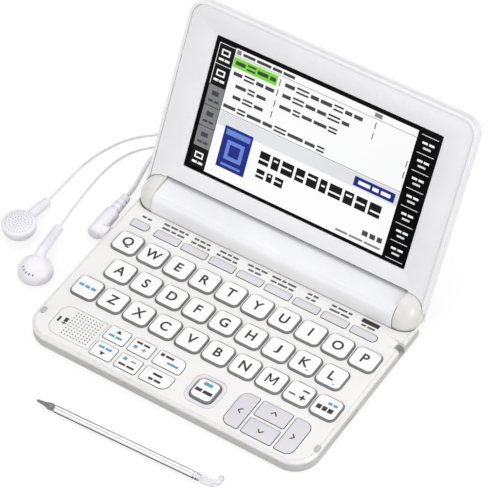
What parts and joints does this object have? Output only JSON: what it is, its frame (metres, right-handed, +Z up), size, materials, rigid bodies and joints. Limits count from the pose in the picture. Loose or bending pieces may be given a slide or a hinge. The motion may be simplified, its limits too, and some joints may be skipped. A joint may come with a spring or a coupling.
{
  "type": "folding electronic dictionary",
  "caption": "Clamshell electronic dictionary, open, with a keyboard, a wide screen on a barrel hinge, a stylus beside it and plugged-in earphones.",
  "frame": {"origin": "middle of the closed keyboard half's footprint, on the surface it rests on", "axes": "+X along the hinge to the user's right, +Y from the user's edge towards the hinge, +Z up"},
  "size_m": [0.1932, 0.1999, 0.0937],
  "materials": {
    "case_grey": "satin grey",
    "panel_white": "satin white",
    "gloss_white": "glossy white",
    "bezel_white": "semi-gloss cool white",
    "cap_ivory": "semi-gloss warm white",
    "board_green": "solder mask",
    "mat_rubber": "moulded silicone",
    "speaker_metal": "plated",
    "jack_black": "moulded",
    "cell_steel": "printed sleeve over steel",
    "touch_black": "polished",
    "lcd_metal": "sheet metal frame",
    "key_white": "satin white",
    "key_lilac": "satin lilac grey",
    "stylus_steel": "polished tube",
    "tip_grey": "moulded",
    "hook_clear": "clear moulding",
    "earphone_white": "semi-gloss white",
    "cord_white": "soft PVC sheath"
  },
  "bodies": {
    "base": {"lower_case": "case_grey", "keyboard_panel": "panel_white", "main_board": "board_green", "key_mat": "mat_rubber", "hinge_barrel": "gloss_white", "battery_cells": "cell_steel", "loudspeaker": "speaker_metal", "headphone_jack": "jack_black"},
    "lid": {"lid_shell": "gloss_white", "lid_bezel": "bezel_white", "touch_panel": "touch_black", "lcd_module": "lcd_metal", "hinge_cap_left": "cap_ivory", "hinge_cap_right": "cap_ivory"},
    "battery_door": {"battery_cover": "panel_white"},
    "earphones": {"earphone_plug": "earphone_white", "trunk_cord": "cord_white", "cord_coil": "cord_white", "y_splitter": "earphone_white", "lead_left": "cord_white", "lead_right": "cord_white", "earbud_left": "earphone_white", "earbud_right": "earphone_white"},
    "stylus": {"stylus_barrel": "stylus_steel", "stylus_tip": "tip_grey", "stylus_hook": "hook_clear"},
    "key_q": {"key_q": "key_white"},
    "key_w": {"key_w": "key_white"},
    "key_e": {"key_e": "key_white"},
    "key_r": {"key_r": "key_white"},
    "key_t": {"key_t": "key_white"},
    "key_y": {"key_y": "key_white"},
    "key_u": {"key_u": "key_white"},
    "key_i": {"key_i": "key_white"},
    "key_o": {"key_o": "key_white"},
    "key_p": {"key_p": "key_white"},
    "key_a": {"key_a": "key_white"},
    "key_s": {"key_s": "key_white"},
    "key_d": {"key_d": "key_white"},
    "key_f": {"key_f": "key_white"},
    "key_g": {"key_g": "key_white"},
    "key_h": {"key_h": "key_white"},
    "key_j": {"key_j": "key_white"},
    "key_k": {"key_k": "key_white"},
    "key_l": {"key_l": "key_white"},
    "key_z": {"key_z": "key_white"},
    "key_x": {"key_x": "key_white"},
    "key_c": {"key_c": "key_white"},
    "key_v": {"key_v": "key_white"},
    "key_b": {"key_b": "key_white"},
    "key_n": {"key_n": "key_white"},
    "key_m": {"key_m": "key_white"},
    "shift_key": {"shift_key": "key_white"},
    "symbol_key": {"symbol_key": "key_white"},
    "delete_key": {"delete_key": "key_white"},
    "enter_key": {"enter_key": "key_white"},
    "power_key": {"power_key": "key_lilac"},
    "function_keys": {"function_keys": "key_lilac"},
    "side_keys": {"side_keys": "key_white"},
    "cursor_keys": {"cursor_keys": "key_lilac"}
  },
  "joints": [
    {"name": "lid_hinge", "type": "hinge", "parent": "base", "child": "lid", "pos_m": [0, 0.0431, 0.0095], "axis": [1, 0, 0], "range_deg": [-31, 119]},
    {"name": "battery_cover_slide", "type": "slide", "parent": "base", "child": "battery_door", "axis": [0, 1, 0], "range_m": [0, 0.025]},
    {"name": "earphone_unplug", "type": "slide", "parent": "base", "child": "earphones", "axis": [-1, 0, 0], "range_m": [0, 0.016]},
    {"name": "pen_lift", "type": "slide", "parent": "base", "child": "stylus", "axis": [0, 0, 1], "range_m": [0, 0.06]},
    {"name": "press_q", "type": "slide", "parent": "base", "child": "key_q", "axis": [0, 0, -1], "range_m": [0, 0.0008], "stiffness_N_per_m": 250},
    {"name": "press_w", "type": "slide", "parent": "base", "child": "key_w", "axis": [0, 0, -1], "range_m": [0, 0.0008], "stiffness_N_per_m": 250},
    {"name": "press_e", "type": "slide", "parent": "base", "child": "key_e", "axis": [0, 0, -1], "range_m": [0, 0.0008], "stiffness_N_per_m": 250},
    {"name": "press_r", "type": "slide", "parent": "base", "child": "key_r", "axis": [0, 0, -1], "range_m": [0, 0.0008], "stiffness_N_per_m": 250},
    {"name": "press_t", "type": "slide", "parent": "base", "child": "key_t", "axis": [0, 0, -1], "range_m": [0, 0.0008], "stiffness_N_per_m": 250},
    {"name": "press_y", "type": "slide", "parent": "base", "child": "key_y", "axis": [0, 0, -1], "range_m": [0, 0.0008], "stiffness_N_per_m": 250},
    {"name": "press_u", "type": "slide", "parent": "base", "child": "key_u", "axis": [0, 0, -1], "range_m": [0, 0.0008], "stiffness_N_per_m": 250},
    {"name": "press_i", "type": "slide", "parent": "base", "child": "key_i", "axis": [0, 0, -1], "range_m": [0, 0.0008], "stiffness_N_per_m": 250},
    {"name": "press_o", "type": "slide", "parent": "base", "child": "key_o", "axis": [0, 0, -1], "range_m": [0, 0.0008], "stiffness_N_per_m": 250},
    {"name": "press_p", "type": "slide", "parent": "base", "child": "key_p", "axis": [0, 0, -1], "range_m": [0, 0.0008], "stiffness_N_per_m": 250},
    {"name": "press_a", "type": "slide", "parent": "base", "child": "key_a", "axis": [0, 0, -1], "range_m": [0, 0.0008], "stiffness_N_per_m": 250},
    {"name": "press_s", "type": "slide", "parent": "base", "child": "key_s", "axis": [0, 0, -1], "range_m": [0, 0.0008], "stiffness_N_per_m": 250},
    {"name": "press_d", "type": "slide", "parent": "base", "child": "key_d", "axis": [0, 0, -1], "range_m": [0, 0.0008], "stiffness_N_per_m": 250},
    {"name": "press_f", "type": "slide", "parent": "base", "child": "key_f", "axis": [0, 0, -1], "range_m": [0, 0.0008], "stiffness_N_per_m": 250},
    {"name": "press_g", "type": "slide", "parent": "base", "child": "key_g", "axis": [0, 0, -1], "range_m": [0, 0.0008], "stiffness_N_per_m": 250},
    {"name": "press_h", "type": "slide", "parent": "base", "child": "key_h", "axis": [0, 0, -1], "range_m": [0, 0.0008], "stiffness_N_per_m": 250},
    {"name": "press_j", "type": "slide", "parent": "base", "child": "key_j", "axis": [0, 0, -1], "range_m": [0, 0.0008], "stiffness_N_per_m": 250},
    {"name": "press_k", "type": "slide", "parent": "base", "child": "key_k", "axis": [0, 0, -1], "range_m": [0, 0.0008], "stiffness_N_per_m": 250},
    {"name": "press_l", "type": "slide", "parent": "base", "child": "key_l", "axis": [0, 0, -1], "range_m": [0, 0.0008], "stiffness_N_per_m": 250},
    {"name": "press_z", "type": "slide", "parent": "base", "child": "key_z", "axis": [0, 0, -1], "range_m": [0, 0.0008], "stiffness_N_per_m": 250},
    {"name": "press_x", "type": "slide", "parent": "base", "child": "key_x", "axis": [0, 0, -1], "range_m": [0, 0.0008], "stiffness_N_per_m": 250},
    {"name": "press_c", "type": "slide", "parent": "base", "child": "key_c", "axis": [0, 0, -1], "range_m": [0, 0.0008], "stiffness_N_per_m": 250},
    {"name": "press_v", "type": "slide", "parent": "base", "child": "key_v", "axis": [0, 0, -1], "range_m": [0, 0.0008], "stiffness_N_per_m": 250},
    {"name": "press_b", "type": "slide", "parent": "base", "child": "key_b", "axis": [0, 0, -1], "range_m": [0, 0.0008], "stiffness_N_per_m": 250},
    {"name": "press_n", "type": "slide", "parent": "base", "child": "key_n", "axis": [0, 0, -1], "range_m": [0, 0.0008], "stiffness_N_per_m": 250},
    {"name": "press_m", "type": "slide", "parent": "base", "child": "key_m", "axis": [0, 0, -1], "range_m": [0, 0.0008], "stiffness_N_per_m": 250},
    {"name": "press_shift", "type": "slide", "parent": "base", "child": "shift_key", "axis": [0, 0, -1], "range_m": [0, 0.0008], "stiffness_N_per_m": 250},
    {"name": "press_symbol", "type": "slide", "parent": "base", "child": "symbol_key", "axis": [0, 0, -1], "range_m": [0, 0.0008], "stiffness_N_per_m": 250},
    {"name": "press_delete", "type": "slide", "parent": "base", "child": "delete_key", "axis": [0, 0, -1], "range_m": [0, 0.0008], "stiffness_N_per_m": 250},
    {"name": "press_enter", "type": "slide", "parent": "base", "child": "enter_key", "axis": [0, 0, -1], "range_m": [0, 0.0008], "stiffness_N_per_m": 250},
    {"name": "press_power", "type": "slide", "parent": "base", "child": "power_key", "axis": [0, 0, -1], "range_m": [0, 0.0006], "stiffness_N_per_m": 300},
    {"name": "press_function", "type": "slide", "parent": "base", "child": "function_keys", "axis": [0, 0, -1], "range_m": [0, 0.0006], "stiffness_N_per_m": 300},
    {"name": "press_side", "type": "slide", "parent": "base", "child": "side_keys", "axis": [0, 0, -1], "range_m": [0, 0.0006], "stiffness_N_per_m": 300},
    {"name": "press_cursor", "type": "slide", "parent": "base", "child": "cursor_keys", "axis": [0, 0, -1], "range_m": [0, 0.0006], "stiffness_N_per_m": 300}
  ]
}
